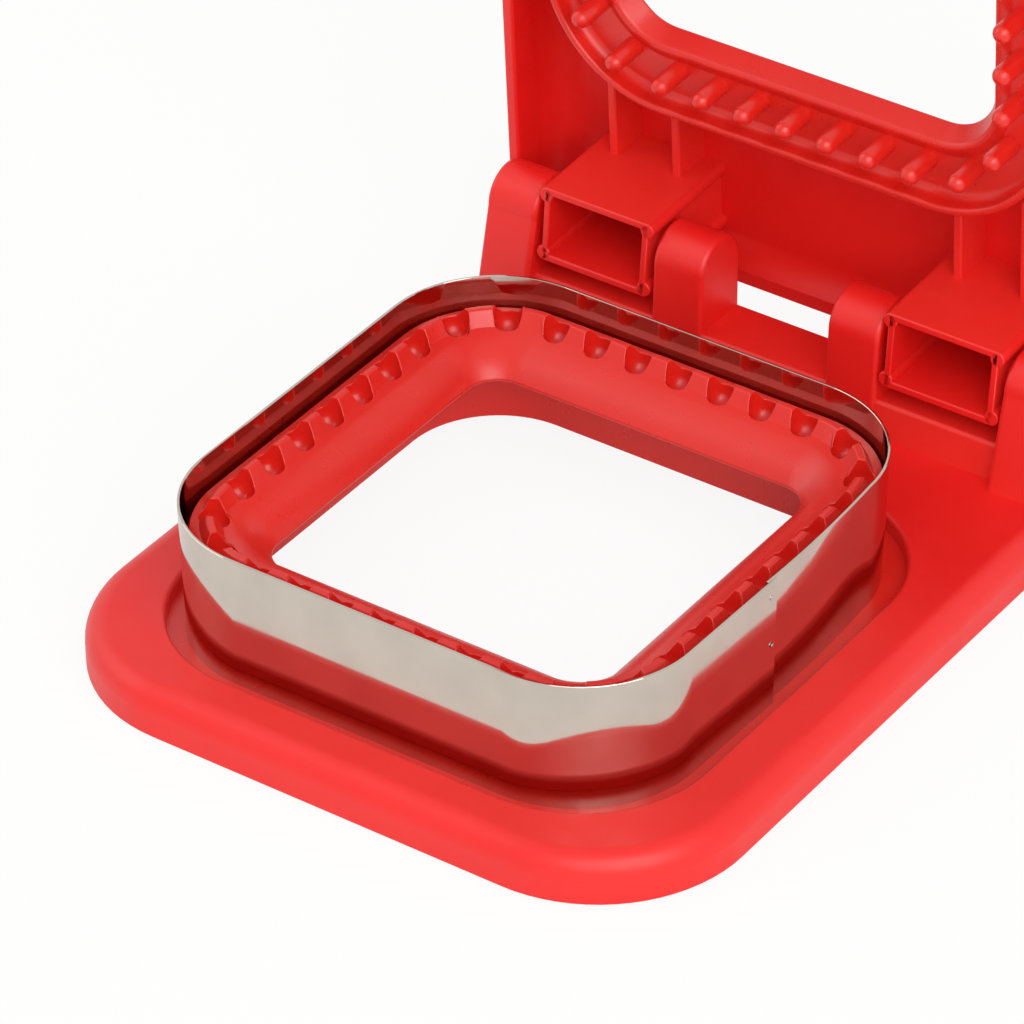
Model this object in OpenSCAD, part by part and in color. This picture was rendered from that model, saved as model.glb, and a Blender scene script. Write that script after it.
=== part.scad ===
// Sandwich cutter and sealer with a hinged press lid, in millimetres.
// The base, the blade and the crimp ring are drawn where they stand.
// The lid is drawn closed and then swung open about the hinge axis.

/* [Blade] */
// Half of the blade's outer width, a square with round corners
blade_half = 45.35; // [38:0.05:55]
// Thickness of the blade strip
blade_thickness = 0.45; // [0.3:0.05:0.8]
// Outer corner radius of the blade
blade_corner = 19.85; // [12:0.05:24]
// Height of the blade strip
blade_height = 24.4; // [18:0.2:32]
// Length of the lapped seam
lap_length = 12; // [6:0.5:18]
// Distance of the lap's free end in front of the blade's middle
lap_end = 2.8; // [0:0.2:6]

/* [Base] */
// Height of the base's deck above the table
base_height = 8.2; // [7:0.1:12]
// Thickness of the deck
deck_thickness = 2.5; // [2:0.1:3]
// Thickness of the base's outer wall
base_wall = 2.4; // [1.8:0.1:3.5]
// Round of the base's top edge
base_round = 4; // [2:0.5:4.5]
// Deck width beside the well
deck_side = 10.6; // [9:0.2:16]
// Deck width in front of the well
deck_front = 9.4; // [9:0.2:16]
// Corner radius at the front of the base
front_corner = 26; // [16:0.5:32]
// Corner radius at the rear of the base
rear_corner = 10; // [6:0.5:14]
// Gap from the blade to the well's edge
well_gap = 2.55; // [2:0.05:5]

/* [Crimp ring] */
// Gap from the blade's inside to the crimp ring
crimp_gap = 1.3; // [0.4:0.05:1.6]
// Drop from the cutting edge to the crimp ring's outer edge
crimp_drop = 5.1; // [3:0.1:7]
// Wall of the crimp ring
crimp_wall = 1.4; // [1:0.1:1.8]
// Width of the land along the outer edge
land_width = 1.5; // [0.8:0.05:1.8]
// Rise of the land towards the teeth
land_rise = 0.4; // [0.2:0.1:0.8]
// Distance of the teeth's outer top edge from the ring's outer edge
top_inset = 2.6; // [2.2:0.1:3]
// Distance of the teeth's inner top edge from the ring's outer edge
crest_inset = 3.75; // [3.2:0.05:4]
// Height of the teeth's top above the ring's outer edge
crest_height = 2.2; // [1.4:0.05:2.6]
// Distance of the teeth's inner foot from the ring's outer edge
foot_inset = 5.25; // [4.6:0.05:6]
// Drop of the teeth's inner foot below the ring's outer edge
foot_drop = 0.3; // [0:0.1:1]
// Distance of the pockets' middle from the outer edge
pocket_inset = 3.3; // [3.1:0.1:3.8]
// Gap from a stud to its pocket all round
pocket_play = 0.4; // [0.2:0.05:0.5]
// Gap from a stud's tip to the bottom of its pocket, with the lid shut
tip_gap = 2; // [1:0.1:2.6]
// Thickness of the ring below a pocket
pocket_floor = 1.3; // [1:0.1:1.6]
// Pockets along each straight side
pockets_per_side = 7; // [3:1:9]
// Angle of the corner pockets either side of the diagonal
corner_spread = 17.5; // [14:0.5:22]
// Fall of the slope at the teeth's foot, in degrees
slope_start = 15; // [9:1:22]
// Fall of the slope at the end of the lip, in degrees
slope_end = 53; // [48:1:58]
// Radius of the slope's curve
lip_radius = 12.9; // [10.5:0.1:15]
// Thickness of the lip
lip_thickness = 2; // [1.6:0.1:2.4]
// Thickness of the foot flange below the deck
flange_thickness = 1.7; // [1.2:0.1:2]
// Width of the foot flange beyond the well's edge
flange_reach = 6.7; // [6:0.1:7]
// Depth of the groove that the blade stands in
groove_depth = 0.8; // [0.5:0.1:1]

/* [Press ring] */
// Gap from the cutting edge to the press ring's floor when shut
press_gap = 1.1; // [0.6:0.1:2]
// Thickness of the press ring's floor
press_floor = 3.2; // [2.6:0.1:4]
// Gap from the lapped blade to the press ring's rim
rim_gap = 0.4; // [0.3:0.05:1.2]
// Thickness of the press ring's rim
rim_wall = 1.4; // [0.8:0.1:1.8]
// Height of the rim below the floor
rim_height = 3.4; // [2:0.1:4.5]
// Radius of a stud
stud_radius = 2; // [1.6:0.05:2.2]
// Length of a stud below the floor
stud_length = 7; // [5.5:0.1:7.6]
// Width of the press ring from its window to its outer edge
press_width = 13.4; // [12.6:0.1:14.5]
// Flare of the window's wall from its back to the bead
window_flare = 2.6; // [1.5:0.1:3]
// Radius of the bead round the window
bead_radius = 1; // [0.6:0.1:1.3]
// Height of the bead below the floor
bead_height = 0.8; // [0.4:0.1:1.5]
// Width of the bead's slope
bead_slope = 1.7; // [1.4:0.1:2.2]

/* [Lid] */
// How far the lid is open at rest, in degrees
open_angle = 87; // [0:1:100]
// Thickness of the lid's wall and plate
lid_wall = 2.2; // [1.6:0.1:3]
// Height of the lid's collar between the press ring and the plate
collar_height = 7.4; // [5:0.1:10]
// Thickness of the collar
collar_wall = 2; // [1.4:0.1:2.4]
// Width of the ledge that carries the press ring
ledge_width = 5; // [4.6:0.1:6]
// Thickness of the ledge
ledge_thickness = 2; // [1.4:0.1:2.4]
// Depth of the lid's skirt below its top
skirt_depth = 14.6; // [11:0.2:15]
// Outer round of the lid's top edge
lid_round = 8.7; // [5:0.1:8.8]
// How far the lid's sides stand in from the base's sides
lid_inset = 1.3; // [0.5:0.1:3]
// Finger lip of the lid beyond the base's front
lid_overhang = 3; // [1:0.5:8]
// Reach of the lid behind the hinge axis
lid_tail = 14.8; // [13:0.1:16]
// Corner radius at the rear of the lid
lid_rear_corner = 9; // [9:0.5:14]
// Height of the lid's rear lip below its top
tail_lip = 5.2; // [4.5:0.1:7]
// Length of the tail where the skirt is cut to the rear lip
tail_cut = 7.4; // [5:0.1:8]
// Thickness of the lid's ribs
rib_thickness = 1.6; // [1:0.1:2.4]
// Inset of each rib from the side of its knuckle
rib_inset = 5; // [4:0.1:7]

/* [Hinge] */
// Height of the hinge axis above the table
hinge_height = 24.8; // [23:0.1:28]
// Distance of the hinge axis behind the blade
hinge_setback = 25.45; // [24:0.05:32]
// Radius of a trunnion on a knuckle's side
pin_radius = 2.4; // [1.8:0.1:3]
// Reach of a trunnion into an ear
pin_reach = 2.6; // [1.5:0.1:4]
// Half of the gap between the two inner ears
ear_gap_half = 12; // [8:0.1:16]
// Width of an inner ear
inner_ear = 9.6; // [7:0.1:12]
// Width of an outer ear
outer_ear = 9.7; // [7:0.1:12]
// Radius of an ear's round top, half its depth
ear_radius = 5.8; // [5:0.1:6.5]
// Distance of the ears' middle in front of the hinge axis
ear_lead = 0.8; // [0:0.1:1]
// Depth of the ears' middle below the hinge axis
ear_sink = 0.5; // [0:0.1:1]
// Spread of an outer ear's foot towards the front
ear_foot = 4.4; // [1:0.1:5]
// Height of the ridge between the ears
ridge_height = 14.4; // [10:0.1:14.5]
// Spread of the ridge's foot towards the front
ridge_foot = 1.4; // [0:0.1:3]
// Knuckle height above the hinge axis, with the lid open
knuckle_up = 6.6; // [6:0.1:7]
// Knuckle height below the hinge axis, with the lid open
knuckle_down = 6.5; // [6:0.1:6.6]
// Reach of the knuckle's upper front edge from the hinge axis
knuckle_reach = 5.2; // [4:0.1:6]
// Extra reach of the knuckle's lower front edge
knuckle_slant = 2.1; // [0:0.1:2.2]
// Wall of the hollow knuckle
knuckle_wall = 1.2; // [0.8:0.1:1.6]
// Radius of the knuckle's corner beads
knuckle_bead = 1.3; // [1:0.05:1.6]

/* [Fasteners] */
// Radius of a screw's shank
screw_radius = 1.2; // [0.9:0.05:1.3]
// Length of a base screw's shank
base_screw_length = 3.1; // [2.4:0.1:3.2]
// Radius of a base screw's washer head
base_head_radius = 3.4; // [3.2:0.1:3.6]
// Thickness of a base screw's head
base_head_height = 1.2; // [0.8:0.1:1.6]
// Radius of the boss that a base screw drives into
boss_radius = 2.4; // [2:0.1:2.5]
// Distance of a base screw from the well's edge
base_screw_inset = 3.3; // [3.1:0.1:3.6]
// Sideways distance of the base screws from the middle
base_screw_spread = 18; // [10:0.5:24]
// Length of a lid screw's shank
lid_screw_length = 4.2; // [3.4:0.1:4.6]
// Radius of a lid screw's head
lid_head_radius = 2.1; // [1.8:0.1:2.2]
// Thickness of a lid screw's head
lid_head_height = 1.5; // [1:0.1:2]
// Sideways distance of the lid screws from the middle
lid_screw_spread = 19.5; // [10:0.5:24]
// Width of the cross recess in a screw head
recess_width = 0.6; // [0.4:0.1:0.8]

/* [Fits] */
// Clearance between pieces that are fixed to each other
seat_fit = 0.05; // [0.02:0.01:0.1]
// Radial clearance of a trunnion in an ear
running_fit = 0.06; // [0.03:0.01:0.1]
// Side gap between a knuckle and an ear
knuckle_gap = 0.4; // [0.3:0.05:0.8]
// Side gap between an outer ear and the lid's skirt
skirt_gap = 0.5; // [0.4:0.1:2]
// Radial clearance of a screw in a through hole
screw_clearance = 0.2; // [0.1:0.05:0.4]
// Radial clearance of a boss in the flange
boss_clearance = 0.3; // [0.1:0.05:0.4]
// Radial clearance of a screw in the hole that it drives into
thread_fit = 0.02; // [0.01:0.01:0.05]

/* [Hidden] */
$fn = 64;
eps = 1;

// Plan sizes, from the blade outwards
well_half = blade_half + well_gap;
well_corner = blade_corner + well_gap;
base_half = well_half + deck_side;
base_front = well_half + deck_front;
hinge_y = blade_half + hinge_setback;
ear_mid_y = hinge_y - ear_lead;
ear_mid_z = hinge_height - ear_sink;
ear_front = ear_mid_y - ear_radius;
ear_rear = ear_mid_y + ear_radius;
base_rear = ear_rear + 0.5;

// Plan sizes, from the blade inwards
crimp_half = blade_half - blade_thickness - crimp_gap;
crimp_corner = blade_corner - blade_thickness - crimp_gap;
straight_half = blade_half - blade_corner;
pocket_pitch = 2 * straight_half / (pockets_per_side - 0.5);
pocket_path = crimp_half - pocket_inset;
pocket_turn = crimp_corner - pocket_inset;

// Heights of the base, from the deck down and from the groove up
deck_under = base_height - deck_thickness;
flange_top = deck_under - seat_fit;
flange_under = flange_top - flange_thickness;
flange_half = well_half + flange_reach;
flange_corner = well_corner + flange_reach;
blade_foot = flange_top - groove_depth + seat_fit;
blade_top = blade_foot + blade_height;
crimp_top = blade_top - crimp_drop;
crest_z = crimp_top + crest_height;

// Sizes of the press ring, with the lid shut
rim_inside = blade_half + blade_thickness + rim_gap;
press_half = rim_inside + rim_wall;
press_corner = press_half - straight_half;
floor_z = blade_top + press_gap;
pocket_radius = stud_radius + pocket_play;
pocket_bottom = floor_z - stud_length - tip_gap;
ring_under = pocket_bottom - pocket_floor;
press_back = floor_z + press_floor;
window_half = press_half - press_width;
window_corner = press_corner - press_width;

// Sizes of the lid, shut
ledge_z = press_back + seat_fit;
plate_under = ledge_z + collar_height;
lid_top = plate_under + lid_wall;
lid_rim = lid_top - skirt_depth;
lid_half = base_half - lid_inset;
lid_front = base_front + lid_overhang;
lid_rear = hinge_y + lid_tail;
collar_half = press_half - rim_wall - seat_fit;
opening_half = collar_half - collar_wall;
opening_corner = opening_half - straight_half;
ledge_half = opening_half - ledge_width;
ledge_corner = opening_corner - ledge_width;
lid_screw_path = opening_half - ledge_width / 2;

// Widths of the hinge
ear_outside = lid_half - lid_wall - skirt_gap;
inner_ear_side = ear_gap_half + inner_ear;
outer_ear_side = ear_outside - outer_ear;
knuckle_in = inner_ear_side + knuckle_gap;
knuckle_out = outer_ear_side - knuckle_gap;
knuckle_front = hinge_y - knuckle_up;
knuckle_back = hinge_y + knuckle_down;
knuckle_low = hinge_height - knuckle_reach;

// Middle of the whole part from front to rear, with the lid as it rests
lid_far = hinge_y + (lid_tail - lid_round) * cos(open_angle)
    + (lid_top - lid_round - hinge_height) * sin(open_angle) + lid_round;
frame_y = (lid_far - base_front) / 2;

// Plan outline: a rectangle with its own corner radii at the front and at the rear
module plan(half, front, rear, turn_front, turn_rear) {
    translate([-half, turn_front - front])
        square([2 * half, front + rear - turn_front - turn_rear]);
    translate([turn_front - half, -front])
        square([2 * (half - turn_front), turn_front + eps / 2]);
    translate([turn_rear - half, rear - turn_rear - eps / 2])
        square([2 * (half - turn_rear), turn_rear + eps / 2]);
    for (side = [-1, 1]) {
        translate([side * (half - turn_front), turn_front - front])
            circle(turn_front);
        translate([side * (half - turn_rear), rear - turn_rear])
            circle(turn_rear);
    }
}

// Plan outline of a square with equal round corners
module plan_square(half, turn) {
    plan(half, half, half, turn, turn);
}

// Upright ring between two outlines
module wall_ring(half, turn, inside, inside_turn, z0, z1) {
    translate([0, 0, z0])
        linear_extrude(z1 - z0)
            difference() {
                plan_square(half, turn);
                plan_square(inside, inside_turn);
            }
}

// Carries a profile, drawn outwards from zero, round a plan outline
module sweep(half, front, rear, turn_front, turn_rear) {
    length = front + rear - turn_front - turn_rear;
    for (side = [0, 1])
        mirror([side, 0, 0]) {
            translate([half, rear - turn_rear, 0])
                rotate([90, 0, 0])
                    linear_extrude(length)
                        children();
            translate([half - turn_front, turn_front - front, 0])
                rotate([0, 0, -90])
                    rotate_extrude(angle = 90)
                        translate([turn_front, 0])
                            children();
            translate([half - turn_rear, rear - turn_rear, 0])
                rotate_extrude(angle = 90)
                    translate([turn_rear, 0])
                        children();
        }
    translate([half - turn_front, -front, 0])
        rotate([0, 0, -90])
            rotate([90, 0, 0])
                linear_extrude(2 * (half - turn_front))
                    children();
    translate([turn_rear - half, rear, 0])
        rotate([0, 0, 90])
            rotate([90, 0, 0])
                linear_extrude(2 * (half - turn_rear))
                    children();
}

module sweep_square(half, turn) {
    sweep(half, half, half, turn, turn)
        children();
}

// Flat block with a rounded top edge, standing from z0 to z1
module pad(half, front, rear, turn_front, turn_rear, z0, z1, edge) {
    translate([0, 0, z0])
        linear_extrude(z1 - z0 - edge)
            plan(half, front, rear, turn_front, turn_rear);
    translate([0, 0, z0])
        linear_extrude(z1 - z0)
            plan(half - edge, front - edge, rear - edge, turn_front - edge, turn_rear - edge);
    sweep(half, front, rear, turn_front, turn_rear)
        intersection() {
            translate([-edge, z1 - edge])
                circle(edge);
            translate([-edge, z1 - edge])
                square(edge);
        }
}

// Places a profile of depth and height across the width
module across(x0, x1) {
    translate([x0, 0, 0])
        rotate([90, 0, 90])
            linear_extrude(x1 - x0)
                children();
}

// Round bar across the width, on the hinge axis
module axis_bar(x0, x1, r) {
    translate([x0, hinge_y, hinge_height])
        rotate([0, 90, 0])
            cylinder(h = x1 - x0, r = r);
}

// Puts a piece into the part's frame
module placed() {
    translate([0, -frame_y, 0])
        children();
}

// Swings a piece of the lid from shut to open
module opened() {
    placed()
        translate([0, hinge_y, hinge_height])
            rotate([-open_angle, 0, 0])
                translate([0, -hinge_y, -hinge_height])
                    children();
}

// One copy on each side
module both_sides() {
    children();
    mirror([1, 0, 0])
        children();
}

// Copies along the crimp path: a row on each side and a pair at each corner
module crimp_sites() {
    middle = (pockets_per_side - 1) / 2;
    for (turn = [0 : 90 : 270])
        rotate([0, 0, turn]) {
            for (i = [0 : pockets_per_side - 1])
                translate([(i - middle) * pocket_pitch, -pocket_path, 0])
                    children();
            for (angle = [-45 - corner_spread, -45 + corner_spread])
                translate([straight_half, -straight_half, 0])
                    rotate([0, 0, angle])
                        translate([pocket_turn, 0, 0])
                            children();
        }
}

// Copies of a screw, two to a side
module screw_sites(path, spread) {
    for (turn = [0 : 90 : 270])
        for (side = [-1, 1])
            rotate([0, 0, turn])
                translate([side * spread, -path, 0])
                    children();
}

// Screw with its head below the origin and its shank above it
module screw(head_radius, head_height, length) {
    difference() {
        union() {
            translate([0, 0, -head_height])
                cylinder(h = head_height, r = head_radius);
            cylinder(h = length, r = screw_radius);
        }
        for (turn = [0, 90])
            rotate([0, 0, turn])
                translate([-head_radius / 2, -recess_width / 2, -head_height - eps])
                    cube([head_radius, recess_width, head_height / 2 + eps]);
    }
}

// Side view of an ear
module ear_profile(foot) {
    polygon([[ear_front - foot, deck_under], [ear_rear, deck_under], [ear_rear, ear_mid_z],
        [ear_front, ear_mid_z]]);
    translate([ear_mid_y, ear_mid_z])
        circle(ear_radius);
}

// Base with its deck, well opening, ridge and hinge ears, open below
module base_tray() {
    color("firebrick")
        placed()
            difference() {
                union() {
                    difference() {
                        pad(base_half, base_front, base_rear, front_corner, rear_corner,
                            0, base_height, base_round);
                        translate([0, 0, -eps])
                            linear_extrude(deck_under + eps)
                                plan(base_half - base_wall, base_front - base_wall,
                                    base_rear - base_wall, front_corner - base_wall,
                                    rear_corner - base_wall);
                        translate([0, 0, -eps])
                            linear_extrude(base_height + 2 * eps)
                                plan_square(well_half, well_corner);
                    }
                    difference() {
                        across(-ear_outside, ear_outside)
                            polygon([[ear_front - ridge_foot, deck_under], [ear_rear, deck_under],
                                [ear_rear, ridge_height], [ear_front, ridge_height]]);
                        across(base_wall - ear_outside, ear_outside - base_wall)
                            polygon([[ear_front + base_wall, deck_under - eps],
                                [ear_rear - base_wall, deck_under - eps],
                                [ear_rear - base_wall, ridge_height - base_wall],
                                [ear_front + base_wall, ridge_height - base_wall]]);
                    }
                    both_sides() {
                        across(outer_ear_side, ear_outside)
                            ear_profile(ear_foot);
                        across(ear_gap_half, inner_ear_side)
                            ear_profile(0);
                    }
                    screw_sites(well_half + base_screw_inset, base_screw_spread)
                        translate([0, 0, flange_under + seat_fit])
                            cylinder(h = deck_under - flange_under, r = boss_radius);
                }
                across(base_wall - ear_outside, ear_outside - base_wall)
                    polygon([[ear_front + base_wall, deck_under - eps],
                        [ear_rear - base_wall, deck_under - eps],
                        [ear_rear - base_wall, base_height + eps],
                        [ear_front + base_wall, base_height + eps]]);
                both_sides() {
                    axis_bar(outer_ear_side - eps, outer_ear_side + pin_reach + knuckle_gap,
                        pin_radius + running_fit);
                    axis_bar(inner_ear_side - pin_reach - knuckle_gap, inner_ear_side + eps,
                        pin_radius + running_fit);
                }
                screw_sites(well_half + base_screw_inset, base_screw_spread)
                    translate([0, 0, flange_under - eps])
                        cylinder(h = base_screw_length + eps + 0.2, r = screw_radius + thread_fit);
            }
}

// Direction on the lip's curve, by its fall in degrees
function fall(angle) = [-sin(angle), cos(angle)];

// Section of the crimp ring, outwards from its outer wall
module crimp_profile() {
    crest = [-crest_inset, crest_z];
    foot = [-foot_inset, crimp_top - foot_drop];
    mid = foot - lip_radius * fall(slope_start);
    core = lip_radius - lip_thickness / 2;
    share = min(1, max(0, (ring_under - mid[1]) / core));
    turn = min(slope_end, max(slope_start, acos(share)));
    polygon([[0, crimp_top], [-land_width, crimp_top + land_rise], [-top_inset, crest_z], crest,
        foot + (foot - crest) / 4, [mid[0] - core * sin(turn), ring_under], [-crimp_wall, ring_under],
        [-crimp_wall, flange_under], [flange_half - crimp_half, flange_under],
        [flange_half - crimp_half, flange_top], [0, flange_top]]);
    intersection() {
        difference() {
            translate(mid)
                circle(lip_radius);
            translate(mid)
                circle(lip_radius - lip_thickness);
        }
        translate(mid)
            polygon([[0, 0], 2 * lip_radius * fall(slope_start - 10), 2 * lip_radius * fall(slope_end)]);
    }
    translate(mid + core * fall(slope_end))
        circle(lip_thickness / 2);
}

// Crimp ring with its pockets, and the flange that closes the well
module crimp_ring() {
    color("tomato")
        placed()
            difference() {
                sweep_square(crimp_half, crimp_corner)
                    crimp_profile();
                crimp_sites()
                    translate([0, 0, pocket_bottom + pocket_radius]) {
                        cylinder(h = crest_z + eps - pocket_bottom - pocket_radius, r = pocket_radius);
                        sphere(pocket_radius);
                    }
                wall_ring(blade_half + seat_fit, blade_corner + seat_fit,
                    blade_half - blade_thickness - seat_fit, blade_corner - blade_thickness - seat_fit,
                    blade_foot - seat_fit, flange_top + eps);
                translate([blade_half - blade_thickness / 2, -lap_end - lap_length - seat_fit,
                        blade_foot - seat_fit])
                    cube([1.5 * blade_thickness + seat_fit, lap_length + 2 * seat_fit,
                        groove_depth + eps]);
                screw_sites(well_half + base_screw_inset, base_screw_spread)
                    translate([0, 0, flange_under - eps])
                        cylinder(h = flange_thickness + 2 * eps, r = boss_radius + boss_clearance);
            }
}

// Blade strip bent to a ring, with its lapped seam on the right
module blade_ring() {
    color("silver")
        placed() {
            wall_ring(blade_half, blade_corner, blade_half - blade_thickness,
                blade_corner - blade_thickness, blade_foot, blade_top);
            translate([blade_half, -lap_end, blade_foot])
                linear_extrude(blade_height)
                    polygon([[-blade_thickness / 2, 0], [blade_thickness, 0],
                        [blade_thickness, -lap_length / 2], [0, -lap_length],
                        [-blade_thickness / 2, -lap_length]]);
        }
}

// Washer-head screws that hold the crimp ring's flange up to the deck
module crimp_screws() {
    color("dimgray")
        placed()
            screw_sites(well_half + base_screw_inset, base_screw_spread)
                translate([0, 0, flange_under - seat_fit])
                    screw(base_head_radius, base_head_height, base_screw_length);
}

// Hollow knuckle of the lid with a bead along each corner
module knuckle() {
    side_in = knuckle_in + knuckle_bead - knuckle_wall / 4;
    side_out = knuckle_out - knuckle_bead + knuckle_wall / 4;
    start = knuckle_low - knuckle_slant - eps;
    rise = plate_under + lid_wall / 2 - start;
    difference() {
        union() {
            translate([side_in, knuckle_front, start])
                cube([side_out - side_in, knuckle_back - knuckle_front, rise]);
            for (x = [knuckle_in + knuckle_bead, knuckle_out - knuckle_bead])
                for (y = [knuckle_front + knuckle_bead, knuckle_back - knuckle_bead])
                    translate([x, y, start])
                        cylinder(h = rise, r = knuckle_bead);
        }
        translate([side_in + knuckle_wall, knuckle_front + knuckle_wall, start - eps])
            cube([side_out - side_in - 2 * knuckle_wall,
                knuckle_back - knuckle_front - 2 * knuckle_wall, plate_under - start + eps]);
        across(knuckle_in - eps, knuckle_out + eps)
            polygon([[knuckle_front - eps, start - eps], [knuckle_back + eps, start - eps],
                [knuckle_back + eps, knuckle_low - knuckle_slant - eps * knuckle_slant
                    / (knuckle_back - knuckle_front)],
                [knuckle_front - eps, knuckle_low + eps * knuckle_slant
                    / (knuckle_back - knuckle_front)]]);
    }
    axis_bar(inner_ear_side - pin_reach, side_in + knuckle_wall / 2, pin_radius);
    axis_bar(side_out - knuckle_wall / 2, outer_ear_side + pin_reach, pin_radius);
}

// Lid shell with its window, collar, ledge, ribs and knuckles
module lid_shell() {
    color("red")
        opened()
            difference() {
                union() {
                    difference() {
                        pad(lid_half, lid_front, lid_rear, front_corner, lid_rear_corner,
                            lid_rim, lid_top, lid_round);
                        pad(lid_half - lid_wall, lid_front - lid_wall, lid_rear - lid_wall,
                            front_corner - lid_wall, lid_rear_corner - lid_wall,
                            lid_rim - eps, plate_under, lid_round - lid_wall);
                        translate([-lid_half - eps, lid_rear - tail_cut, lid_rim - 2 * eps])
                            cube([2 * (lid_half + eps), tail_cut + eps,
                                skirt_depth - tail_lip + 2 * eps]);
                    }
                    wall_ring(collar_half, collar_half - straight_half, opening_half,
                        opening_corner, ledge_z, plate_under + lid_wall / 2);
                    wall_ring(collar_half - collar_wall / 2, collar_half - collar_wall / 2 - straight_half,
                        ledge_half, ledge_corner, ledge_z, ledge_z + ledge_thickness);
                    both_sides() {
                        knuckle();
                        for (x = [knuckle_in + rib_inset, knuckle_out - rib_inset])
                            translate([x - rib_thickness / 2, collar_half - collar_wall / 2, ledge_z])
                                cube([rib_thickness,
                                    knuckle_front + knuckle_wall / 2 - collar_half + collar_wall / 2,
                                    plate_under + lid_wall / 2 - ledge_z]);
                    }
                }
                translate([0, 0, ledge_z + ledge_thickness])
                    linear_extrude(lid_top - ledge_z)
                        plan_square(opening_half, opening_corner);
                screw_sites(lid_screw_path, lid_screw_spread)
                    translate([0, 0, ledge_z - eps])
                        cylinder(h = ledge_thickness + 2 * eps, r = screw_radius + screw_clearance);
            }
}

// Point where a line from p touches a circle, on its left (1) or right (-1) side
function touch(p, c, r, side) =
    let (d = norm(c - p))
    let (turn = atan2(c[1] - p[1], c[0] - p[0]) + side * asin(r / d))
    p + sqrt(d * d - r * r) * [cos(turn), sin(turn)];

// Section of the press ring, inwards from its outer edge
module press_profile() {
    back = [-press_width, press_back];
    bead = [window_flare - press_width, floor_z - bead_height + bead_radius];
    foot = [bead[0] + bead_slope, floor_z];
    polygon([[0, floor_z - rim_height], [0, press_back], back, touch(back, bead, bead_radius, -1), bead,
        touch(foot, bead, bead_radius, 1), foot, [-rim_wall, floor_z],
        [-rim_wall, floor_z - rim_height]]);
    translate(bead)
        circle(bead_radius);
}

// Press ring with its rim, its studs and the bead round the window
module press_ring() {
    color("orangered")
        opened()
            difference() {
                union() {
                    sweep_square(press_half, press_corner)
                        press_profile();
                    crimp_sites() {
                        translate([0, 0, floor_z - stud_length + stud_radius])
                            cylinder(h = stud_length - stud_radius + press_floor / 2, r = stud_radius);
                        translate([0, 0, floor_z - stud_length + stud_radius])
                            sphere(stud_radius);
                    }
                }
                screw_sites(lid_screw_path, lid_screw_spread)
                    translate([0, 0, ledge_z + ledge_thickness - lid_screw_length - 0.2])
                        cylinder(h = lid_screw_length, r = screw_radius + thread_fit);
            }
}

// Screws that hold the press ring to the lid's ledge
module press_screws() {
    color("gray")
        opened()
            screw_sites(lid_screw_path, lid_screw_spread)
                translate([0, 0, ledge_z + ledge_thickness + seat_fit])
                    mirror([0, 0, 1])
                        screw(lid_head_radius, lid_head_height, lid_screw_length);
}

base_tray();
crimp_ring();
blade_ring();
crimp_screws();
lid_shell();
press_ring();
press_screws();
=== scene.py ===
"""Dressed model of a hinged sandwich cutter and sealer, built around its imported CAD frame.

Every piece is modelled in millimetres in the plan of the CAD source: the middle of the blade is at
the origin, the hinge runs along X behind it and the table is at zero height. The lid's pieces are
modelled shut. A finished piece is then swung open if it belongs to the lid, moved into the part's
frame and scaled to metres, with its place applied to its mesh.
"""

import logging
import math
from collections.abc import Callable, Sequence
from dataclasses import dataclass
from enum import Enum

import bmesh
import bpy
from mathutils import Matrix, Vector

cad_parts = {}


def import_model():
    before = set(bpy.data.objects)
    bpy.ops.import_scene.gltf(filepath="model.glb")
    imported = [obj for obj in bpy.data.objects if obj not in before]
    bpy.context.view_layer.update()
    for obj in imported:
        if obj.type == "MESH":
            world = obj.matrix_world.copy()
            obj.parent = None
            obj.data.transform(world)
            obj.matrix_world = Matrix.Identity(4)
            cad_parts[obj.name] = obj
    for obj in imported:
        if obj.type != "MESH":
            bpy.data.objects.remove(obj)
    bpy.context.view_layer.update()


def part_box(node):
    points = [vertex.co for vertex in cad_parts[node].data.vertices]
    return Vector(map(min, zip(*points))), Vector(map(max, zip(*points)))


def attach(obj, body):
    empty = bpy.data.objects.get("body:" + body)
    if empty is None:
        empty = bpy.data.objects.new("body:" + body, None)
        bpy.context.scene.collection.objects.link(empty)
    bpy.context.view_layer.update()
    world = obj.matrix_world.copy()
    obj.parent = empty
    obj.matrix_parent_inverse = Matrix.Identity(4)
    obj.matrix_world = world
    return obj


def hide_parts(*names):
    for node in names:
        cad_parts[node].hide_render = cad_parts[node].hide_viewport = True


LOG = logging.getLogger("sandwich_cutter")
Obj = bpy.types.Object
Edge = bmesh.types.BMEdge
Tree = bpy.types.NodeTree
Socket = bpy.types.NodeSocket
Test = Callable[[Edge], bool]
Point = tuple[float, float, float]
Place = tuple[float, float]
Section = list[Place]

METRES = 0.001  # metres in a millimetre
NEAR = 0.02  # places closer than this are the same
DOUBLED = 0.001  # points closer than this are merged
DOWNWARD = -0.9  # a face looks down if its normal's height is below this
PAST = 5.0  # how far a cutting block reaches past what it cuts
TURN_STEPS = 18  # faces across a corner's turn in plan
SHARP = 40  # degrees past which an edge is a corner
SQUARE = 60  # degrees past which an edge is nearly square
RIM_ROUND = 0.9  # round of an opening's upper rim
SMOOTH_ANGLE = 34  # degrees up to which shading runs on
FLAT_WEIGHT = 80  # how much flat faces lead the shading
NOISE_SPAN = (0.3, 0.7)  # where most of a noise lies
WHITE = (1, 1, 1, 1)
SENSOR_MM = 36  # width of the camera's sensor


class Body(Enum):
    """The rigid bodies of the part."""

    BASE = "base"
    LID = "lid"


class Pick(Enum):
    """What a selection in edit mode holds."""

    EDGE = "EDGE"
    FACE = "FACE"


# Modelling bench


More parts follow.
